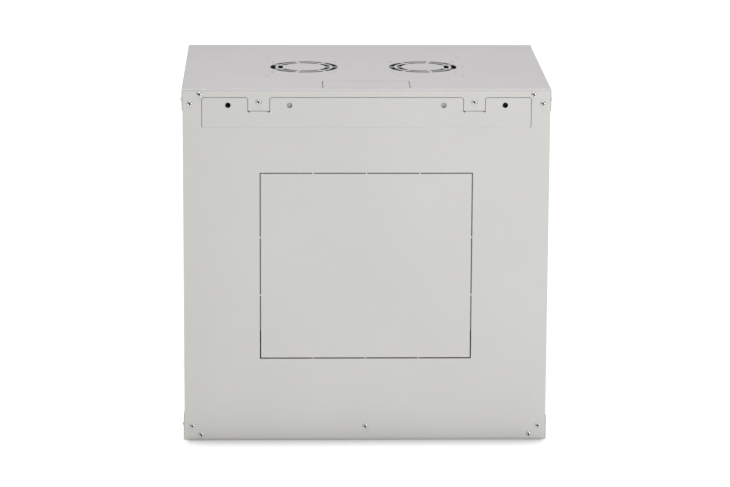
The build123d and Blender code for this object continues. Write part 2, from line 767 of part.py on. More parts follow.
def pin_guide(z):
    """Angle welded inside the door's hinge edge, bored for the pin."""
    x = (-door_x + shell_sheet, hinge_x + 7)
    y = (door_skin_y + seam_gap, door_back_y - shell_sheet - seam_gap)
    plate = slab(x, y, z)
    leg = slab((x[0], x[0] + shell_sheet), y, (z[0] - 8, z[1]))
    bore = rod_z(hinge_x, hinge_y, (z[0] - 9, z[1] + 1), hinge_pin_radius + 2 * running_gap)
    return plate + leg - bore


def hinge_pin_guides():
    upper = pin_guide((spring_foot - 2, spring_foot))
    lower_z = step_z[0] + guide_rise
    return [upper, pin_guide((lower_z, lower_z + 2))]


def upper_hinge_pin():
    """Sprung pin with the collar that its spring pushes on and the lever that draws it down."""
    top = roof_z - seam_gap
    pin = rod_z(hinge_x, hinge_y, (spring_foot - 14, top), hinge_pin_radius)
    pin = chamfer(pin.edges().sort_by(Axis.Z)[-1], 0.6)
    collar_z = (spring_top, spring_top + pin_collar[1])
    pin += rod_z(hinge_x, hinge_y, collar_z, hinge_pin_radius + pin_collar[0])
    lever_z = spring_foot - 11
    pin += rod_x((hinge_x, hinge_x + 20), hinge_y, lever_z, 2.0)
    return pin + Pos(hinge_x + 20, hinge_y, lever_z) * Sphere(3.0)


def hinge_spring():
    """Compression spring round the upper pin, between the guide and the collar."""
    wire = 0.4
    coil_radius = hinge_pin_radius + wire + 0.5
    rise = spring_length - 2 * wire - 0.2
    helix = Helix(pitch=3.0, height=rise, radius=coil_radius)
    section = Plane(helix @ 0, z_dir=helix % 0) * Circle(wire)
    return Pos(hinge_x, hinge_y, spring_foot + wire + 0.1) * sweep(section, path=helix)


def lower_hinge_pin():
    """Fixed pin with a shoulder under the door's edge."""
    pin = rod_z(hinge_x, hinge_y, (shell_sheet + 0.4, step_z[0] + guide_rise + 6), hinge_pin_radius)
    shoulder_z = (step_z[0] - 0.6, step_z[0])
    return pin + rod_z(hinge_x, hinge_y, shoulder_z, hinge_pin_radius + pin_collar[0])


# ---------------------------------------------------------------- earthing studs
earth_y = rear_y - stud_setback


def earth_stud_places():
    return (-stud_spacing / 2, stud_spacing / 2)


def earth_studs():
    return [rod_z(x, earth_y, (0.2, 17), stud_radius) for x in earth_stud_places()]


def earth_nuts():
    """Washer and nut on each stud."""
    nuts = []
    for x in earth_stud_places():
        nut = rod_z(x, earth_y, (shell_sheet, 2.6), 6.5)
        nut += extrude(Plane.XY.offset(2.6) * Pos(x, earth_y) * RegularPolygon(5.77, 6), 5.0)
        nuts.append(nut - rod_z(x, earth_y, (0, 9), stud_radius + running_gap))
    return nuts


# ---------------------------------------------------------------- writing the pieces
def build():
    os.makedirs("parts", exist_ok=True)
    save("roof_panel", roof_panel())
    save("base_panel", base_panel())
    save("rear_panel", rear_panel())
    save("rear_panel_screws", *rear_panel_screws())
    save("bracket_recess", bracket_recess())
    save("wall_bracket", wall_bracket())
    save("bracket_screws", *bracket_screws())
    save("bracket_nuts", *bracket_nuts())

    save("front_post_right", front_post())
    save("front_post_left", left_of(front_post()))
    save("rear_post_right", rear_post())
    save("rear_post_left", left_of(rear_post()))
    save("corner_pads", *corner_pads())
    save("side_flange_screws", *side_flange_screws())
    save("front_header", header())
    save("front_sill", at_bottom(header()))
    save("rear_foot_rail", foot_rail())
    save("door_bumpers", *door_bumpers())

    save("depth_bar_upper_right", depth_bar())
    save("depth_bar_upper_left", left_of(depth_bar()))
    save("depth_bar_lower_right", at_bottom(depth_bar()))
    save("depth_bar_lower_left", left_of(at_bottom(depth_bar())))
    save("bar_screws", *bar_screws())
    for end, face_y, inward in (("front", front_rail_y, 1), ("rear", rear_rail_y, -1)):
        right_rail = rail(face_y, inward)
        save(f"rail_{end}_right", right_rail)
        save(f"rail_{end}_left", left_of(right_rail))
        bolts = rail_bolts(face_y, inward)
        save(f"rail_bolts_{end}_right", *bolts)
        save(f"rail_bolts_{end}_left", *[left_of(bolt) for bolt in bolts])

    cam_rise = side_lock_length - shell_sheet - moving_gap
    for name, side in (("right", lambda shape: shape), ("left", left_of)):
        save(f"side_panel_{name}", side(side_panel()))
        save(f"side_panel_hooks_{name}", *[side(hook) for hook in side_panel_hooks()])
        save(f"side_lock_body_{name}", side(on_side(lock_body(side_lock_length - 0.6))))
        save(f"side_lock_plug_{name}", side(on_side(lock_plug(side_lock_length))))
        cam = Pos(0, 0, -side_lock_length) * cranked_cam(side_cam_reach, cam_rise)
        save(f"side_lock_cam_{name}", side(on_side(cam)))

    save("door_frame", door_frame())
    save("door_glass", door_glass())
    save("glass_tape", glass_tape())
    save("glass_clips", *glass_clips())
    save("glass_clip_screws", *glass_clip_screws())
    save("door_lock_body", on_door(lock_body(door_lock_length - 0.6)))
    save("door_lock_nut", on_door(lock_nut(shell_sheet)))
    save("door_lock_plug", on_door(lock_plug(door_lock_length)))
    save("door_lock_cam", on_door(Pos(0, 0, -door_lock_length) * straight_cam(30.0)))
    save("hinge_brackets", hinge_bracket(), at_bottom(hinge_bracket()))
    save("hinge_pin_guides", *hinge_pin_guides())
    save("upper_hinge_pin", upper_hinge_pin())
    save("hinge_spring", hinge_spring())
    save("lower_hinge_pin", lower_hinge_pin())
    save("earth_studs", *earth_studs())
    save("earth_nuts", *earth_nuts())


build()
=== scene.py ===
"""Looks of a twelve-unit wall cabinet for network equipment, standing with its wall side in view."""

import math
import random

import bmesh
import bpy
from mathutils import Matrix, Vector


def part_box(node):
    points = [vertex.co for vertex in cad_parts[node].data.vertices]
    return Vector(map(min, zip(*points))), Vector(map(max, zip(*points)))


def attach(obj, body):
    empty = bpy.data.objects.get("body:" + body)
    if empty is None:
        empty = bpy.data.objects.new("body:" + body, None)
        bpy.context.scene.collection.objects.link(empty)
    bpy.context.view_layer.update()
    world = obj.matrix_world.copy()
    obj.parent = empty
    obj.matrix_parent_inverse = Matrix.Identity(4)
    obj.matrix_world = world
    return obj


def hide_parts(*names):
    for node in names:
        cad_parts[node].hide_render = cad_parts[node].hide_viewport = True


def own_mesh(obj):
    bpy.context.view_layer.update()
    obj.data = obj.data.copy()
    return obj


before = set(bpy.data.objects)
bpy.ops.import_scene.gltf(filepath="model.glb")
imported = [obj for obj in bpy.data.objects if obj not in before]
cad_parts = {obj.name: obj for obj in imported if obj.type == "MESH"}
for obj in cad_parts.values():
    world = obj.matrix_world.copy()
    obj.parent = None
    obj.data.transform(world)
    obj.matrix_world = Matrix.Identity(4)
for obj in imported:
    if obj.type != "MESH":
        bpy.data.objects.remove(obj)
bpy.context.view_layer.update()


# ------------------------------------------------------------------ studio
# A white product studio: a pale seamless floor and an even white surround, a softbox overhead, a key
# softbox at the camera's right, and a dark flag at its left that gives the bright screws their
# shaded side. The camera stands over five metres behind the wall side with a long lens.
scene = bpy.context.scene
scene.view_settings.view_transform = "Standard"

camera_place = Vector((0.144, 5.4, 1.49))
camera_yaw, camera_pitch, camera_roll = math.radians(-1.575), math.radians(12.593), math.radians(0.282)
flat_length = math.cos(camera_pitch)
look_x, look_y = math.sin(camera_yaw) * flat_length, -math.cos(camera_yaw) * flat_length
look = Vector((look_x, look_y, -math.sin(camera_pitch)))
right = Vector((-math.cos(camera_yaw), -math.sin(camera_yaw), 0))
up = right.cross(look)
right_rolled = math.cos(camera_roll) * right + math.sin(camera_roll) * up
up_rolled = math.cos(camera_roll) * up - math.sin(camera_roll) * right
camera_data = bpy.data.cameras.new("studio_camera")
camera_data.sensor_fit = "HORIZONTAL"
camera_data.sensor_width = 36.0
camera_data.lens = 159.834
camera_data.clip_end = 200.0
camera = bpy.data.objects.new("studio_camera", camera_data)
turn = Matrix((right_rolled, up_rolled, -look)).transposed()
camera.matrix_world = Matrix.Translation(camera_place) @ turn.to_4x4()
scene.collection.objects.link(camera)
scene.camera = camera

world = bpy.data.worlds.new("white_surround")
world.use_nodes = True
surround = world.node_tree.nodes["Background"]
surround.inputs["Color"].default_value = (1.0, 1.0, 1.0, 1.0)
seen_directly = world.node_tree.nodes.new("ShaderNodeLightPath")
brightness = world.node_tree.nodes.new("ShaderNodeMapRange")
brightness.inputs["To Min"].default_value = 0.36
brightness.inputs["To Max"].default_value = 1.1
world.node_tree.links.new(seen_directly.outputs["Is Camera Ray"], brightness.inputs["Value"])
world.node_tree.links.new(brightness.outputs["Result"], surround.inputs["Strength"])
scene.world = world


def softbox(name, place, aim, size, power):
    """Rectangular lamp that faces its aim; power in watts."""
    data = bpy.data.lights.new(name, "AREA")
    data.shape = "RECTANGLE"
    data.size, data.size_y = size
    data.energy = power
    lamp = bpy.data.objects.new(name, data)
    lamp.location = place
    lamp.rotation_euler = (Vector(aim) - Vector(place)).to_track_quat("-Z", "Y").to_euler()
    scene.collection.objects.link(lamp)


softbox("key_softbox", place=(-1.6, 2.1, 0.7), aim=(-0.1, 0.2, 0.2), size=(1.4, 1.2), power=16)
softbox("overhead_softbox", place=(0.0, 0.35, 3.2), aim=(0.0, 0.1, 0.4), size=(2.2, 1.6), power=56)


def stage_sheet(name, corners, material):
    """One flat sheet of the studio, which isn't part of the object."""
    mesh = bpy.data.meshes.new(name)
    mesh.from_pydata(corners, [], [(0, 1, 2, 3)])
    mesh.materials.append(material)
    sheet = bpy.data.objects.new(name, mesh)
    scene.collection.objects.link(sheet)
    return sheet


floor_paint = bpy.data.materials.new("white_paper_sweep")
floor_paint.use_nodes = True
floor_shader = floor_paint.node_tree.nodes["Principled BSDF"]
floor_shader.inputs["Base Color"].default_value = (0.45, 0.45, 0.45, 1)
floor_shader.inputs["Roughness"].default_value = 0.9
floor_shader.inputs["Specular IOR Level"].default_value = 0.0
floor_shader.inputs["Emission Color"].default_value = (1, 1, 1, 1)
paper_nodes, paper_links = floor_paint.node_tree.nodes, floor_paint.node_tree.links

# painted contact shadow: the paper glows less where something stands close over it, darkest at the foot
painted_shadow_openness = paper_nodes.new("ShaderNodeAmbientOcclusion")
painted_shadow_openness.samples = 8
painted_shadow_openness.inputs["Distance"].default_value = 0.075
glow_with_painted_shadow = paper_nodes.new("ShaderNodeMapRange")
glow_with_painted_shadow.inputs["From Min"].default_value = 0.5
glow_with_painted_shadow.inputs["From Max"].default_value = 0.92
paper_links.new(painted_shadow_openness.outputs["AO"], glow_with_painted_shadow.inputs["Value"])

# painted light: the glow is brighter further out, where the softboxes don't reach
on_paper = paper_nodes.new("ShaderNodeTexCoord")
from_middle = paper_nodes.new("ShaderNodeVectorMath")
from_middle.operation = "LENGTH"
paper_links.new(on_paper.outputs["Object"], from_middle.inputs[0])
painted_light_further_out = paper_nodes.new("ShaderNodeMapRange")
painted_light_further_out.inputs["From Min"].default_value = 0.4
painted_light_further_out.inputs["From Max"].default_value = 1.8
painted_light_further_out.inputs["To Min"].default_value = 0.72
painted_light_further_out.inputs["To Max"].default_value = 0.95
paper_links.new(from_middle.outputs["Value"], painted_light_further_out.inputs["Value"])
paper_links.new(painted_light_further_out.outputs["Result"], glow_with_painted_shadow.inputs["To Max"])

# the painted contact shadow shows along the wall side and the door side; to the object's left and
# right the paper glows on without it
across = paper_nodes.new("ShaderNodeSeparateXYZ")
paper_links.new(on_paper.outputs["Object"], across.inputs["Vector"])
to_either_side = paper_nodes.new("ShaderNodeMath")
to_either_side.operation = "ABSOLUTE"
paper_links.new(across.outputs["X"], to_either_side.inputs[0])
beside_no_painted_shadow = paper_nodes.new("ShaderNodeMapRange")
beside_no_painted_shadow.inputs["From Min"].default_value = 0.290
beside_no_painted_shadow.inputs["From Max"].default_value = 0.304
beside_no_painted_shadow.inputs["To Min"].default_value = 0.16
beside_no_painted_shadow.inputs["To Max"].default_value = 0.8
paper_links.new(to_either_side.outputs["Value"], beside_no_painted_shadow.inputs["Value"])
paper_links.new(beside_no_painted_shadow.outputs["Result"], glow_with_painted_shadow.inputs["To Min"])
paper_links.new(glow_with_painted_shadow.outputs["Result"], floor_shader.inputs["Emission Strength"])
floor_half = 30.0  # half of its width
floor_z = -0.0002  # just under the base
floor_corners = [(-floor_half, -floor_half, floor_z), (floor_half, -floor_half, floor_z)]
floor_corners += [(floor_half, floor_half, floor_z), (-floor_half, floor_half, floor_z)]
stage_sheet("studio_floor", floor_corners, floor_paint)

flag_cloth = bpy.data.materials.new("black_flag_cloth")
flag_cloth.use_nodes = True
flag_shader = flag_cloth.node_tree.nodes["Principled BSDF"]
flag_shader.inputs["Base Color"].default_value = (0.02, 0.02, 0.02, 1)
flag_shader.inputs["Roughness"].default_value = 0.9
flag_corners = [(2.4, 1.7, 0.02), (3.0, 0.9, 0.02), (3.0, 0.9, 1.6), (2.4, 1.7, 1.6)]
flag = stage_sheet("dark_flag", flag_corners, flag_cloth)
flag.visible_camera = False
flag.visible_diffuse = False
flag.visible_shadow = False


# ------------------------------------------------------------------ base tray
# The base is a folded tray of 1.2 mm steel, powder-coated light grey, with a cable knock-out and
# rows of vent slots. Powder coat has a fine orange peel and slightly duller patches where it was
# handled; along the cut edges and bends its colour is lighter, a painted highlight.
def powder_coat(name, colour, peel=0.10, roughness=0.48, dust=0.03):
    """Powder-coated steel; peel is the strength of the orange peel."""
    material = bpy.data.materials.new(name)
    material.use_nodes = True
    nodes, links = material.node_tree.nodes, material.node_tree.links
    shader = nodes["Principled BSDF"]
    shader.inputs["Specular IOR Level"].default_value = 0.32
    coords = nodes.new("ShaderNodeTexCoord")

    def noise(scale, detail, rough=0.5):
        node = nodes.new("ShaderNodeTexNoise")
        node.inputs["Scale"].default_value = scale
        node.inputs["Detail"].default_value = detail
        node.inputs["Roughness"].default_value = rough
        links.new(coords.outputs["Object"], node.inputs["Vector"])
        return node.outputs["Fac"]

    def spread(value, low, high):
        node = nodes.new("ShaderNodeMapRange")
        node.inputs["From Min"].default_value = 0.3
        node.inputs["From Max"].default_value = 0.7
        node.inputs["To Min"].default_value = low
        node.inputs["To Max"].default_value = high
        links.new(value, node.inputs["Value"])
        return node.outputs["Result"]

    # orange peel: millimetre waves with a finer grain on them, over softened sheet edges
    soft_edge = nodes.new("ShaderNodeBevel")
    soft_edge.samples = 4
    soft_edge.inputs["Radius"].default_value = 0.0006
    grain = nodes.new("ShaderNodeBump")
    grain.inputs["Strength"].default_value = peel
    grain.inputs["Distance"].default_value = 0.0002
    links.new(noise(2600, 3), grain.inputs["Height"])
    links.new(soft_edge.outputs["Normal"], grain.inputs["Normal"])
    waves = nodes.new("ShaderNodeBump")
    waves.inputs["Strength"].default_value = peel
    waves.inputs["Distance"].default_value = 0.0006
    links.new(noise(620, 2), waves.inputs["Height"])
    links.new(grain.outputs["Normal"], waves.inputs["Normal"])
    links.new(waves.outputs["Normal"], shader.inputs["Normal"])

    # painted highlight: the colour is lighter where the sheet turns or ends
    geometry = nodes.new("ShaderNodeNewGeometry")
    turn_of_edge = nodes.new("ShaderNodeVectorMath")
    turn_of_edge.operation = "DOT_PRODUCT"
    links.new(soft_edge.outputs["Normal"], turn_of_edge.inputs[0])
    links.new(geometry.outputs["Normal"], turn_of_edge.inputs[1])
    edge = nodes.new("ShaderNodeMapRange")
    edge.inputs["From Min"].default_value = 1.0
    edge.inputs["From Max"].default_value = 0.8
    edge.inputs["To Min"].default_value = 0.0
    edge.inputs["To Max"].default_value = 0.35
    links.new(turn_of_edge.outputs["Value"], edge.inputs["Value"])

    # colour: slow cloudiness of the film, then dust, then the painted highlight on the edges
    def blended(factor, first, second):
        node = nodes.new("ShaderNodeMix")
        node.data_type = "RGBA"
        links.new(factor, node.inputs["Factor"])
        for socket, value in (("A", first), ("B", second)):
            target = [i for i in node.inputs if i.name == socket and i.type == "RGBA"][0]
            if hasattr(value, "links"):
                links.new(value, target)
            else:
                target.default_value = (*value, 1)
        return [o for o in node.outputs if o.type == "RGBA"][0]

    pale = tuple(channel * 1.018 for channel in colour)
    deep = tuple(channel * 0.982 for channel in colour)
    cloudy = blended(spread(noise(5, 3), 0, 1), deep, pale)
    dusty = blended(spread(noise(38, 6, 0.7), 0, dust), cloudy, (0.45, 0.43, 0.40))
    bright = tuple(min(1.0, channel * 1.16) for channel in colour)
    links.new(blended(edge.outputs["Result"], dusty, bright), shader.inputs["Base Color"])
    links.new(spread(noise(22, 5, 0.6), roughness - 0.05, roughness + 0.07), shader.inputs["Roughness"])
    return material


def finish_with(material, *names):
    """Gives CAD pieces their finish."""
    for name in names:
        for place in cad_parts[name].material_slots:
            place.material = material


base_coat = powder_coat("base_powder_coat", (0.585, 0.575, 0.560))
finish_with(base_coat, "base_panel")


# ------------------------------------------------------------------ posts and cross members
# Four angle posts, a header, a sill and a foot member of 1.5 mm steel are screwed and welded
# into the box's skeleton, and coated in the same grey before assembly, a little smoother inside.
frame_coat = powder_coat("frame_powder_coat", (0.56, 0.555, 0.545), peel=0.07, roughness=0.44)
for side in ("right", "left"):
    finish_with(frame_coat, f"front_post_{side}", f"rear_post_{side}")
finish_with(frame_coat, "front_header", "front_sill", "rear_foot_rail", "corner_pads")
finish_with(frame_coat, "bracket_recess")


# ------------------------------------------------------------------ roof tray
# The roof is a folded tray like the base: two laser-cut fan grilles, a cable knock-out held by
# small bridges, and side flanges that stand proud of the side panels.
# painted shade: the roof's grey is a little darker and pinker than the rear panel's, the same paint in
# less light
roof_coat_painted_shade = powder_coat("roof_powder_coat_painted_shade", (0.575, 0.560, 0.562))
finish_with(roof_coat_painted_shade, "roof_panel")


# ------------------------------------------------------------------ rear panel and wall bracket
# One flat sheet closes the wall side, with a large knock-out; the wall bracket, a 2 mm strip with
# keyed notches, lies flush in a recess near its top and is coated in the same batch.
rear_coat = powder_coat("rear_powder_coat", (0.605, 0.600, 0.580))
finish_with(rear_coat, "rear_panel", "wall_bracket")


# ------------------------------------------------------------------ cross-recess screws
# Bright zinc-plated pan-head screws hold the rear panel, the flanges, the depth bars, the wall
# bracket's tabs and the glass clips. The heads are cold-formed domes with a tapered cross recess,
# and each stands a little off upright, as it was driven home. The recess is coloured nearly black,
# which is painted shade.
def plated_steel(name, colour, roughness, wear=0.10):
    """Plated metal whose roughness strays by wear to either side."""
    material = bpy.data.materials.new(name)
    material.use_nodes = True
    nodes, links = material.node_tree.nodes, material.node_tree.links
    shader = nodes["Principled BSDF"]
    shader.inputs["Metallic"].default_value = 1.0
    coords = nodes.new("ShaderNodeTexCoord")
    patches = nodes.new("ShaderNodeTexNoise")
    patches.inputs["Scale"].default_value = 180
    patches.inputs["Detail"].default_value = 6
    patches.inputs["Roughness"].default_value = 0.65
    links.new(coords.outputs["Object"], patches.inputs["Vector"])
    polish = nodes.new("ShaderNodeMapRange")
    polish.inputs["From Min"].default_value = 0.3
    polish.inputs["From Max"].default_value = 0.7
    polish.inputs["To Min"].default_value = max(0.05, roughness - wear)
    polish.inputs["To Max"].default_value = roughness + wear
    links.new(patches.outputs["Fac"], polish.inputs["Value"])
    links.new(polish.outputs["Result"], shader.inputs["Roughness"])
    tone = nodes.new("ShaderNodeValToRGB")
    tone.color_ramp.elements[0].position = 0.3
    tone.color_ramp.elements[0].color = (*[channel * 0.86 for channel in colour], 1)
    tone.color_ramp.elements[1].position = 0.7
    tone.color_ramp.elements[1].color = (*colour, 1)
    links.new(patches.outputs["Fac"], tone.inputs["Fac"])
    links.new(tone.outputs["Color"], shader.inputs["Base Color"])
    ripple = nodes.new("ShaderNodeBump")
    ripple.inputs["Strength"].default_value = 0.08
    ripple.inputs["Distance"].default_value = 0.0002
    links.new(patches.outputs["Fac"], ripple.inputs["Height"])
    soft_edge = nodes.new("ShaderNodeBevel")
    soft_edge.samples = 4
    soft_edge.inputs["Radius"].default_value = 0.0002
    links.new(soft_edge.outputs["Normal"], ripple.inputs["Normal"])
    links.new(ripple.outputs["Normal"], shader.inputs["Normal"])
    return material


def solid_boxes(name):
    """Low and high corner of each separate solid in a CAD node."""
    work = bmesh.new()
    work.from_mesh(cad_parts[name].data)
    bmesh.ops.remove_doubles(work, verts=work.verts, dist=1e-6)
    left_over = set(work.verts)
    boxes = []
    while left_over:
        group, edge_of_group = set(), [left_over.pop()]
        while edge_of_group:
            vertex = edge_of_group.pop()
            group.add(vertex)
            for edge in vertex.link_edges:
                other = edge.other_vert(vertex)
                if other in left_over:
                    left_over.discard(other)
                    edge_of_group.append(other)
        points = [vertex.co for vertex in group]
        low = Vector([min(point[axis] for point in points) for axis in range(3)])
        high = Vector([max(point[axis] for point in points) for axis in range(3)])
        boxes.append((low, high))
    work.free()
    return sorted(boxes, key=lambda box: tuple(round(value, 4) for value in box[0]))


def turned_mesh(name, profile, steps=40):
    """Surface of revolution about Z from (radius, height) points; both ends lie on the axis."""
    work = bmesh.new()
    points = [work.verts.new((radius, 0, height)) for radius, height in profile]
    edges = [work.edges.new(pair) for pair in zip(points, points[1:])]
    bmesh.ops.spin(
        work, geom=points + edges, cent=(0, 0, 0), axis=(0, 0, 1), angle=2 * math.pi, steps=steps
    )
    bmesh.ops.remove_doubles(work, verts=work.verts, dist=1e-7)
    bmesh.ops.recalc_face_normals(work, faces=work.faces)
    mesh = bpy.data.meshes.new(name)
    work.to_mesh(mesh)
    work.free()
    return mesh


def applied(shaped):
    """Mesh with the modifiers applied, from a helper object that is then removed."""
    shaped_now = shaped.evaluated_get(bpy.context.evaluated_depsgraph_get())
    mesh = bpy.data.meshes.new_from_object(shaped_now)
    bpy.data.objects.remove(shaped)
    return mesh


def screw_template(name, head_radius, head_height, shank_radius, length):
    """One pan-head screw with its cross recess, head above z = 0."""
    edge_height, flat_top = 0.25, 0.3  # shares of the head's height and radius
    dome = []
    for step in range(9):
        angle = math.radians(10 * step)
        rise = edge_height + (1 - edge_height) * math.sin(angle)
        reach = flat_top + (1 - flat_top) * math.cos(angle)
        dome.append((head_radius * reach, head_height * rise))
    profile = [(0, -length), (shank_radius * 0.8, -length), (shank_radius, -length + shank_radius * 0.3)]
    profile += [(shank_radius, 0), (head_radius * 0.97, 0), (head_radius, head_height * 0.08)]
    profile += dome + [(0, head_height)]
    body = bpy.data.objects.new(name, turned_mesh(name, profile))
    scene.collection.objects.link(body)
    # the cross tapers from its mouth to its foot; its cutter goes on widening above the head
    work = bmesh.new()
    mouth, foot = head_radius * 0.72, head_radius * 0.36
    above_mouth = mouth * 1.25
    wing_mouth, wing_foot = head_radius * 0.22, head_radius * 0.14
    top, bottom = head_height * 1.3, head_height * 0.12
    for along_x in (True, False):
        corners = []
        for reach, wing, z in ((foot, wing_foot, bottom), (above_mouth, wing_mouth, top)):
            for sx, sy in ((-1, -1), (1, -1), (1, 1), (-1, 1)):
                x, y = (sx * reach, sy * wing) if along_x else (sx * wing, sy * reach)
                corners.append(work.verts.new((x, y, z)))
        low_ring, high_ring = corners[:4], corners[4:]
        work.faces.new(low_ring[::-1])
        work.faces.new(high_ring)
        for i in range(4):
            work.faces.new((low_ring[i], low_ring[(i + 1) % 4], high_ring[(i + 1) % 4], high_ring[i]))
    bmesh.ops.recalc_face_normals(work, faces=work.faces)
    # the cutter's faces take material index 1; they become the recess, coloured with painted shade
    for face in work.faces:
        face.material_index = 1
    cutter_mesh = bpy.data.meshes.new("cross_cutter")
    work.to_mesh(cutter_mesh)
    work.free()
    cutter = bpy.data.objects.new("cross_cutter", cutter_mesh)
    scene.collection.objects.link(cutter)
    cut = body.modifiers.new("cross", "BOOLEAN")
    cut.operation, cut.solver, cut.use_self, cut.object = "DIFFERENCE", "EXACT", True, cutter
    cut.material_mode = "INDEX"
    mesh = applied(body)
    bpy.data.objects.remove(cutter)
    recess = mesh.attributes.new("recess", "BOOLEAN", "FACE")
    for i, face in enumerate(mesh.polygons):
        face.use_smooth = True
        recess.data[i].value = face.material_index == 1
    mesh.set_sharp_from_angle(angle=math.radians(32))
    return mesh


copy_nodes = bpy.data.node_groups.new("copies_on_points", "GeometryNodeTree")
for label, direction, kind in (
    ("Points", "INPUT", "NodeSocketGeometry"),
    ("Template", "INPUT", "NodeSocketObject"),
    ("Finish", "INPUT", "NodeSocketMaterial"),
    ("Painted Recess Shade", "INPUT", "NodeSocketMaterial"),
    ("Copies", "OUTPUT", "NodeSocketGeometry"),
):
    copy_nodes.interface.new_socket(name=label, in_out=direction, socket_type=kind)
group_in = copy_nodes.nodes.new("NodeGroupInput")
group_out = copy_nodes.nodes.new("NodeGroupOutput")
template_info = copy_nodes.nodes.new("GeometryNodeObjectInfo")
template_info.inputs["As Instance"].default_value = True
turn_of_copy = copy_nodes.nodes.new("GeometryNodeInputNamedAttribute")
turn_of_copy.data_type = "FLOAT_VECTOR"
turn_of_copy.inputs["Name"].default_value = "turn"
to_rotation = copy_nodes.nodes.new("FunctionNodeEulerToRotation")
on_points = copy_nodes.nodes.new("GeometryNodeInstanceOnPoints")
realize = copy_nodes.nodes.new("GeometryNodeRealizeInstances")
set_finish = copy_nodes.nodes.new("GeometryNodeSetMaterial")
in_recess = copy_nodes.nodes.new("GeometryNodeInputNamedAttribute")
in_recess.data_type = "BOOLEAN"
in_recess.inputs["Name"].default_value = "recess"
set_painted_recess_shade = copy_nodes.nodes.new("GeometryNodeSetMaterial")
wire = copy_nodes.links.new
wire(group_in.outputs["Points"], on_points.inputs["Points"])
wire(group_in.outputs["Template"], template_info.inputs["Object"])
wire(template_info.outputs["Geometry"], on_points.inputs["Instance"])
wire(turn_of_copy.outputs["Attribute"], to_rotation.inputs["Euler"])
wire(to_rotation.outputs["Rotation"], on_points.inputs["Rotation"])
wire(on_points.outputs["Instances"], realize.inputs["Geometry"])
wire(realize.outputs["Geometry"], set_finish.inputs["Geometry"])
wire(group_in.outputs["Finish"], set_finish.inputs["Material"])
wire(set_finish.outputs["Geometry"], set_painted_recess_shade.inputs["Geometry"])
wire(in_recess.outputs["Attribute"], set_painted_recess_shade.inputs["Selection"])
wire(group_in.outputs["Painted Recess Shade"], set_painted_recess_shade.inputs["Material"])
wire(set_painted_recess_shade.outputs["Geometry"], group_out.inputs["Copies"])


def copies(name, template_mesh, places, finish, body, replaced):
    """One piece of many copies; places are (point, direction of the template's +Z, spin)."""
    points = bpy.data.meshes.new(name)
    points.from_pydata([tuple(point) for point, _, _ in places], [], [])
    turns = points.attributes.new("turn", "FLOAT_VECTOR", "POINT")
    for i, (_, direction, spin) in enumerate(places):
        aim = Vector(direction).to_track_quat("Z", "X").to_matrix()
        turns.data[i].vector = (aim @ Matrix.Rotation(spin, 3, "Z")).to_euler()
    template = bpy.data.objects.new(name + "_template", template_mesh)
    scene.collection.objects.link(template)
    scattered = bpy.data.objects.new(name, points)
    scene.collection.objects.link(scattered)
    scatter = scattered.modifiers.new("copies", "NODES")
    scatter.node_group = copy_nodes
    sockets = copy_nodes.interface.items_tree
    by_label = {item.name: item.identifier for item in sockets if item.in_out == "INPUT"}
    scatter[by_label["Template"]] = template
    scatter[by_label["Finish"]] = finish
    scatter[by_label["Painted Recess Shade"]] = painted_recess_shade
    mesh = applied(scattered)
    bpy.data.objects.remove(template)
    piece = bpy.data.objects.new(name, mesh)
    scene.collection.objects.link(piece)
    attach(piece, body)
    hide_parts(replaced)


screw_zinc = plated_steel("bright_zinc", (0.80, 0.80, 0.79), 0.20, wear=0.06)
# painted shade: the cross recesses are coloured nearly black
painted_recess_shade = plated_steel("painted_shade_in_recess", (0.08, 0.08, 0.078), 0.5)
millimetre = 0.001
screw_head_height = 2.4 * millimetre
spins = random.Random(7)
largest_spin = 0.25  # radians to either side of upright
to_wall_side, outward, inward = None, 1, -1


def screw_places(node, facing):
    """Seat, direction and own angle of each screw of a CAD node, from the solids' boxes."""
    found = []
    for low, high in solid_boxes(node):
        centre = (low + high) / 2
        aim = Vector((0, 1, 0))
        if facing is not to_wall_side:
            aim = Vector((math.copysign(1, centre.x) * facing, 0, 0))
        axis = [abs(value) for value in aim].index(1)
        tip = high[axis] if aim[axis] > 0 else low[axis]
        seat = centre.copy()
        seat[axis] = tip - aim[axis] * screw_head_height
        found.append((seat, aim, spins.uniform(-largest_spin, largest_spin)))
    return found


# each set: its CAD node and body, head radius, shank radius and length below the head in
# millimetres, and the way its heads face
for set_name, node, body, head_radius, shank_radius, length, facing in (
    ("rear_panel_screw_set", "rear_panel_screws", "cabinet", 4.1, 2, 2.7, to_wall_side),
    ("flange_screw_set", "side_flange_screws", "cabinet", 4.1, 2, 4.4, outward),
    ("bar_screw_set", "bar_screws", "cabinet", 4.1, 2, 3.4, inward),
    ("bracket_screw_set", "bracket_screws", "cabinet", 3.8, 2.4, 5.0, to_wall_side),
    ("clip_screw_set", "glass_clip_screws", "door", 4.1, 2, 5.8, to_wall_side),
):
    one_screw = screw_template(set_name.removesuffix("_set"), head_radius * millimetre,
                               screw_head_height, shank_radius * millimetre, length * millimetre)
    copies(set_name, one_screw, screw_places(node, facing), screw_zinc, body, node)


# ------------------------------------------------------------------ press nuts and earthing studs
# Zinc-plated round press nuts take the tab screws. Two brass studs with a washer and a hexagon
# nut each stand on the base for the earthing of roof and door.
zinc_steel = plated_steel("zinc_steel", (0.66, 0.66, 0.64), 0.34)
brass = plated_steel("plain_brass", (0.74, 0.55, 0.26), 0.28)
finish_with(zinc_steel, "bracket_nuts")
finish_with(brass, "earth_studs", "earth_nuts")


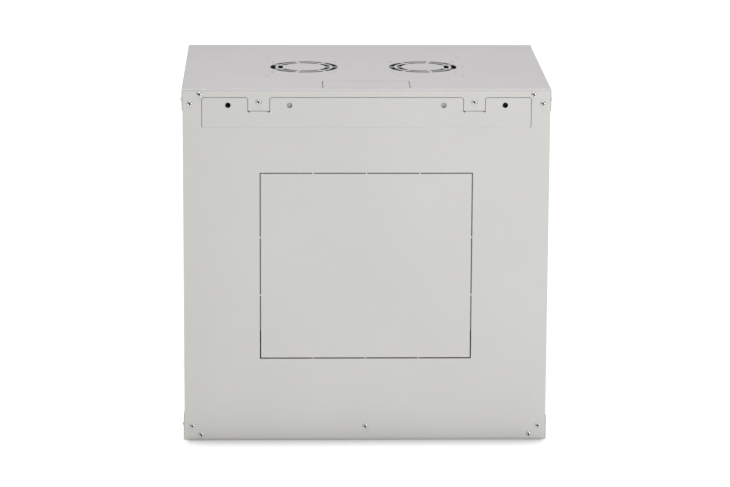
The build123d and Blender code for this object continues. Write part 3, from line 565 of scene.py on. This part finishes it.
# ------------------------------------------------------------------ depth bars and 19-inch rails
# Slotted angles run from front to rear at the top and the foot. The rails are 2 mm angles with
# square holes at the rack pitch, bolted to the bars with zinc-plated hexagon bolts; the front
# pair has its units numbered from the foot in dark screen-printed figures.
rail_coat = powder_coat("rail_powder_coat", (0.54, 0.54, 0.53), peel=0.05, roughness=0.40)
bolt_zinc = plated_steel("bolt_zinc", (0.62, 0.62, 0.60), 0.32)
for side in ("right", "left"):
    finish_with(frame_coat, f"depth_bar_upper_{side}", f"depth_bar_lower_{side}")
    for end in ("front", "rear"):
        finish_with(rail_coat, f"rail_{end}_{side}")
        finish_with(bolt_zinc, f"rail_bolts_{end}_{side}")

print_ink = bpy.data.materials.new("rail_figures_ink")
print_ink.use_nodes = True
ink_shader = print_ink.node_tree.nodes["Principled BSDF"]
ink_shader.inputs["Base Color"].default_value = (0.03, 0.03, 0.035, 1)
ink_shader.inputs["Roughness"].default_value = 0.55
unit_pitch = 0.04445
first_unit_foot = 0.0283
figure_height = 0.0055
ink_half_thickness = 0.04 * millimetre
ink_stand_off = 0.02 * millimetre  # the ink's middle plane, in front of the rail
figure_x = 0.2468  # from the cabinet's middle, outside the square holes
units = 12
for side, sign in (("right", 1), ("left", -1)):
    rail_low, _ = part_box(f"rail_front_{side}")
    work = bmesh.new()
    for unit in range(units):
        letters = bpy.data.curves.new("unit_figure", "FONT")
        letters.body = str(unit + 1)
        letters.size = figure_height
        letters.extrude = ink_half_thickness
        letters.align_x, letters.align_y = "CENTER", "CENTER"
        letters.resolution_u = 3
        shown = bpy.data.objects.new("unit_figure", letters)
        scene.collection.objects.link(shown)
        figure = applied(shown)
        unit_middle = first_unit_foot + (unit + 0.5) * unit_pitch
        place = Vector((sign * figure_x, rail_low.y - ink_stand_off, unit_middle))
        figure.transform(Matrix.Translation(place) @ Matrix.Rotation(math.radians(90), 4, "X"))
        work.from_mesh(figure)
        bpy.data.meshes.remove(figure)
    figures = bpy.data.meshes.new(f"unit_figures_{side}")
    work.to_mesh(figures)
    work.free()
    figures.materials.append(print_ink)
    piece = bpy.data.objects.new(f"unit_figures_{side}", figures)
    scene.collection.objects.link(piece)
    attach(piece, f"rail_front_{side}_body")


# ------------------------------------------------------------------ side panels
# Each side is one sheet with a folded return at the top and the foot, and two welded tongues that
# drop behind the base's flange; coated with the shell.
side_coat = powder_coat("side_powder_coat", (0.595, 0.588, 0.572))
for side in ("right", "left"):
    finish_with(side_coat, f"side_panel_{side}")
    finish_with(frame_coat, f"side_panel_hooks_{side}")


# ------------------------------------------------------------------ locks
# Nickel-plated zinc castings, polished on the face, with a turning plug and a plated steel cam.
# Each lock is clamped in the sheet from inside.
lock_chrome = plated_steel("lock_nickel", (0.74, 0.735, 0.72), 0.16, wear=0.05)
for side in ("right", "left"):
    finish_with(lock_chrome, f"side_lock_body_{side}", f"side_lock_plug_{side}")
    finish_with(zinc_steel, f"side_lock_cam_{side}")
finish_with(lock_chrome, "door_lock_body", "door_lock_plug")
finish_with(zinc_steel, "door_lock_cam", "door_lock_nut")


# ------------------------------------------------------------------ door
# A folded frame round a pane of smoked toughened glass. The pane is bedded on a ring of black
# foam tape and held by ten screwed clips.
door_coat = powder_coat("door_powder_coat", (0.59, 0.582, 0.568))
finish_with(door_coat, "door_frame")
finish_with(frame_coat, "glass_clips", "hinge_pin_guides")

smoked_glass = bpy.data.materials.new("smoked_glass")
smoked_glass.use_nodes = True
glass_shader = smoked_glass.node_tree.nodes["Principled BSDF"]
glass_shader.inputs["Base Color"].default_value = (0.12, 0.125, 0.13, 1)
glass_shader.inputs["Transmission Weight"].default_value = 1.0
glass_shader.inputs["Roughness"].default_value = 0.015
glass_shader.inputs["IOR"].default_value = 1.5
finish_with(smoked_glass, "door_glass")


def plain_rubber(name, colour, roughness):
    """Matt rubber or foam with a fine grain."""
    material = bpy.data.materials.new(name)
    material.use_nodes = True
    nodes, links = material.node_tree.nodes, material.node_tree.links
    shader = nodes["Principled BSDF"]
    shader.inputs["Base Color"].default_value = (*colour, 1)
    shader.inputs["Roughness"].default_value = roughness
    coords = nodes.new("ShaderNodeTexCoord")
    grain = nodes.new("ShaderNodeTexNoise")
    grain.inputs["Scale"].default_value = 1500
    grain.inputs["Detail"].default_value = 4
    links.new(coords.outputs["Object"], grain.inputs["Vector"])
    bump = nodes.new("ShaderNodeBump")
    bump.inputs["Strength"].default_value = 0.3
    bump.inputs["Distance"].default_value = 0.0002
    links.new(grain.outputs["Fac"], bump.inputs["Height"])
    links.new(bump.outputs["Normal"], shader.inputs["Normal"])
    return material


finish_with(plain_rubber("foam_tape", (0.02, 0.02, 0.02), 0.85), "glass_tape")


# ------------------------------------------------------------------ hinges
# Two coated plates welded to roof and base carry the pins: a fixed one at the foot and a sprung
# one above, drawn down by its small lever to lift the door off. Pins and spring are zinc-plated.
finish_with(frame_coat, "hinge_brackets")
finish_with(zinc_steel, "upper_hinge_pin", "lower_hinge_pin")


# ------------------------------------------------------------------ hinge spring
# A compression spring of 0.8 mm zinc-plated wire, wound with closed ends, sits round the sprung pin
# between a guide and the pin's collar. It shortens by the pin's travel when the lever is drawn down.
def coil_mesh(name, axis_x, axis_y, foot, length, coil_radius, wire_radius, turns):
    """Round wire wound on a vertical axis, whose first and last turns lie close."""
    closed_pitch = 2.1 * wire_radius  # a hair more than the wire's own thickness
    open_pitch = (length - 2 * wire_radius - 2 * closed_pitch) / (turns - 2)
    steps_per_turn, sides = 28, 10
    work = bmesh.new()
    rings = []
    rise = foot + wire_radius
    for step in range(turns * steps_per_turn + 1):
        turn_now = step / steps_per_turn
        angle = 2 * math.pi * turn_now
        if step:
            rise += (open_pitch if 1 < turn_now <= turns - 1 else closed_pitch) / steps_per_turn
        ring = []
        for side in range(sides):
            around = 2 * math.pi * side / sides
            radius = coil_radius + wire_radius * math.cos(around)
            x, y = axis_x + radius * math.cos(angle), axis_y + radius * math.sin(angle)
            ring.append(work.verts.new((x, y, rise + wire_radius * math.sin(around))))
        rings.append(ring)
    for ring, following in zip(rings, rings[1:]):
        for side in range(sides):
            after = (side + 1) % sides
            work.faces.new((ring[side], ring[after], following[after], following[side]))
    work.faces.new(rings[0])
    work.faces.new(rings[-1][::-1])
    bmesh.ops.recalc_face_normals(work, faces=work.faces)
    for face in work.faces:
        face.smooth = True
    mesh = bpy.data.meshes.new(name)
    work.to_mesh(mesh)
    work.free()
    mesh.set_sharp_from_angle(angle=math.radians(50))
    return mesh


spring_low, spring_high = [Vector(corner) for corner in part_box("hinge_spring")]
spring_axis = (spring_low + spring_high) / 2
spring_length = spring_high.z - spring_low.z
wire_radius = 0.4 * millimetre
coil_radius = (spring_high.x - spring_low.x) / 2 - wire_radius
coil_turns = 10
coil = coil_mesh("hinge_spring_coil", spring_axis.x, spring_axis.y, spring_low.z, spring_length,
                 coil_radius, wire_radius, coil_turns)
coil.materials.append(zinc_steel)
spring = bpy.data.objects.new("hinge_spring_coil", coil)
scene.collection.objects.link(spring)
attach(spring, "door")
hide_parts("hinge_spring")
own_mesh(spring)


# ------------------------------------------------------------------ door stops
# Four turned plugs of black rubber, pushed into the post, the header and the sill, cushion the
# closing door.
finish_with(plain_rubber("stop_rubber", (0.025, 0.025, 0.025), 0.7), "door_bumpers")
